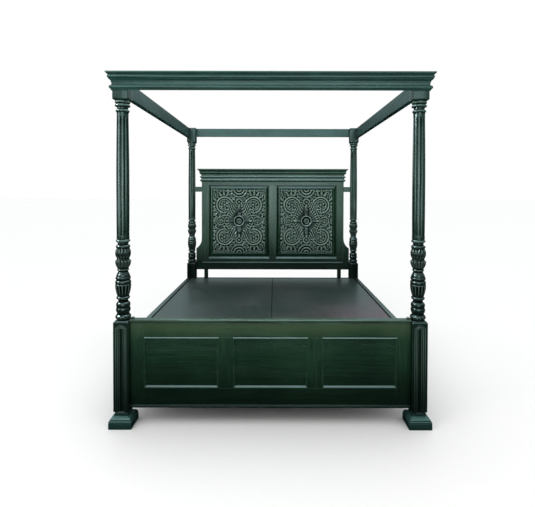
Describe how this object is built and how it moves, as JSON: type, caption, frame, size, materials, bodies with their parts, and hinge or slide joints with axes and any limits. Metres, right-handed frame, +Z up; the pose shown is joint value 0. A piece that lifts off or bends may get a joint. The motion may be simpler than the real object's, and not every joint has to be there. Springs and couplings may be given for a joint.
{
  "type": "four poster canopy bed",
  "caption": "King size canopy bed with turned and fluted corner posts, moulded cornice, carved panel headboard, panelled footboard and lift-out deck boards.",
  "frame": {"origin": "floor level under the centre of the bed's outline", "axes": "+X to the right seen from the foot of the bed, +Y from the foot to the head, +Z up"},
  "size_m": [1.954, 2.242, 2.134],
  "materials": {
    "frame_lacquer": "dark green satin lacquer over wood grain",
    "carved_lacquer": "dark green satin lacquer, rubbed lighter on the high parts of the carving",
    "deck_lacquer": "grey green lacquered board, semi-gloss",
    "inner_timber": "thin dark green stain on sawn timber",
    "bare_timber": "bare beech",
    "steel_fittings": "zinc plated"
  },
  "bodies": {
    "bed_frame": {"canopy_back_rail": "frame_lacquer", "canopy_dowels": "bare_timber", "canopy_front_cornice": "frame_lacquer", "canopy_front_rail": "frame_lacquer", "canopy_side_cornice_left": "frame_lacquer", "canopy_side_cornice_right": "frame_lacquer", "canopy_side_rail_left": "frame_lacquer", "canopy_side_rail_right": "frame_lacquer", "centre_beam": "inner_timber", "centre_legs": "inner_timber", "cross_slats": "inner_timber", "foot_back_left": "frame_lacquer", "foot_back_right": "frame_lacquer", "foot_front_left": "frame_lacquer", "foot_front_right": "frame_lacquer", "foot_ledger": "inner_timber", "footboard_base_bead": "frame_lacquer", "footboard_bottom_rail": "frame_lacquer", "footboard_cap": "frame_lacquer", "footboard_cap_buttons": "frame_lacquer", "footboard_muntins": "frame_lacquer", "footboard_panel_centre": "frame_lacquer", "footboard_panel_left": "frame_lacquer", "footboard_panel_mouldings": "frame_lacquer", "footboard_panel_right": "frame_lacquer", "footboard_stile_left": "frame_lacquer", "footboard_stile_right": "frame_lacquer", "footboard_top_rail": "frame_lacquer", "head_rail": "frame_lacquer", "headboard_base_moulding": "frame_lacquer", "headboard_bottom_rail": "frame_lacquer", "headboard_cornice": "frame_lacquer", "headboard_lower_rail": "frame_lacquer", "headboard_muntin": "frame_lacquer", "headboard_panel_frames": "frame_lacquer", "headboard_panel_left": "carved_lacquer", "headboard_panel_right": "carved_lacquer", "headboard_spacer_blocks": "frame_lacquer", "headboard_stile_left": "frame_lacquer", "headboard_stile_right": "frame_lacquer", "headboard_top_rail": "frame_lacquer", "headboard_wing_left": "frame_lacquer", "headboard_wing_right": "frame_lacquer", "post_joint_studs": "steel_fittings", "post_lower_back_left": "frame_lacquer", "post_lower_back_right": "frame_lacquer", "post_lower_front_left": "frame_lacquer", "post_lower_front_right": "frame_lacquer", "post_upper_back_left": "frame_lacquer", "post_upper_back_right": "frame_lacquer", "post_upper_front_left": "frame_lacquer", "post_upper_front_right": "frame_lacquer", "rail_bracket_bolts": "steel_fittings", "rail_brackets": "steel_fittings", "rail_ledger_left": "inner_timber", "rail_ledger_right": "inner_timber", "side_rail_left": "frame_lacquer", "side_rail_right": "frame_lacquer"},
    "deck_left": {"deck_board_left": "deck_lacquer"},
    "deck_right": {"deck_board_right": "deck_lacquer"}
  },
  "joints": [
    {"name": "deck_left_lift", "type": "slide", "parent": "bed_frame", "child": "deck_left", "axis": [0, 0, 1], "range_m": [0, 0.2]},
    {"name": "deck_right_lift", "type": "slide", "parent": "bed_frame", "child": "deck_right", "axis": [0, 0, 1], "range_m": [0, 0.2]}
  ]
}
